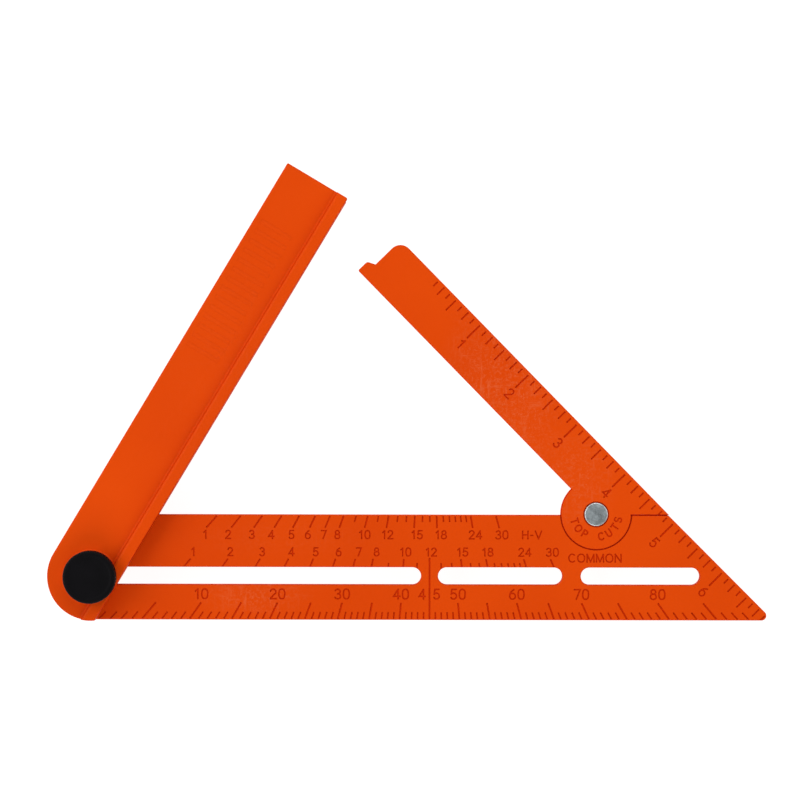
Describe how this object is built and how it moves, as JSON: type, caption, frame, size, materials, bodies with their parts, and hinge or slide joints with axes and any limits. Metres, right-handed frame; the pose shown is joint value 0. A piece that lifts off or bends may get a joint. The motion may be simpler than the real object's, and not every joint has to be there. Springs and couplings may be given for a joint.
{
  "type": "speed square",
  "caption": "Folding speed square: a slotted 45 degree blade, a ruler leg on a rivet, and a fence that straddles the blade, pivots and slides under a clamping knob.",
  "frame": {"origin": "bottom centre of the whole object's box, with the square lying flat: the floor plane is the lowest face of the back rail", "axes": "+X along the base from the fence pivot to the tip, +Y across the base towards the fence's far end, +Z out of the marked face"},
  "size_m": [0.263, 0.167, 0.0282],
  "materials": {
    "orange_plastic": "satin moulded plastic, evenly coloured, lightly scuffed",
    "zinc_steel": "zinc-plated steel",
    "white_nylon": "natural nylon",
    "black_plastic": "black moulded plastic, fine matt texture",
    "brass": "turned brass"
  },
  "bodies": {
    "base": {"base_blade": "orange_plastic", "leg_rivet": "zinc_steel", "rivet_washer": "zinc_steel"},
    "leg": {"ruler_leg": "orange_plastic"},
    "slider": {"front_slide_bush": "white_nylon", "back_slide_bush": "white_nylon"},
    "fence": {"fence_front": "orange_plastic", "fence_back": "orange_plastic", "pivot_bolt": "zinc_steel"},
    "clamp": {"knob_washer": "zinc_steel"},
    "knob": {"knob_cap": "black_plastic", "knob_insert": "brass"}
  },
  "joints": [
    {"name": "leg_fold", "type": "hinge", "parent": "base", "child": "leg", "pos_m": [0.06907, -0.04472, 0.011], "axis": [0, 0, 1], "range_deg": [0, 45.6]},
    {"name": "fence_slide", "type": "slide", "parent": "base", "child": "slider", "axis": [1, 0, 0], "range_m": [0, 0.115]},
    {"name": "fence_turn", "type": "hinge", "parent": "slider", "child": "fence", "pos_m": [-0.11543, -0.06742, 0.011], "axis": [0, 0, 1], "range_deg": [-59.15, 120.85]},
    {"name": "clamp_lift", "type": "slide", "parent": "fence", "child": "clamp", "axis": [0, 0, 1], "range_m": [0, 0.0008]},
    {"name": "knob_turn", "type": "hinge", "parent": "clamp", "child": "knob", "pos_m": [-0.11543, -0.06742, 0.025], "axis": [0, 0, 1], "range_deg": [0, 360]}
  ],
  "couplings": [
    {"joint": "clamp_lift", "follows": "knob_turn", "m_per_rad": 0.00012732}
  ]
}
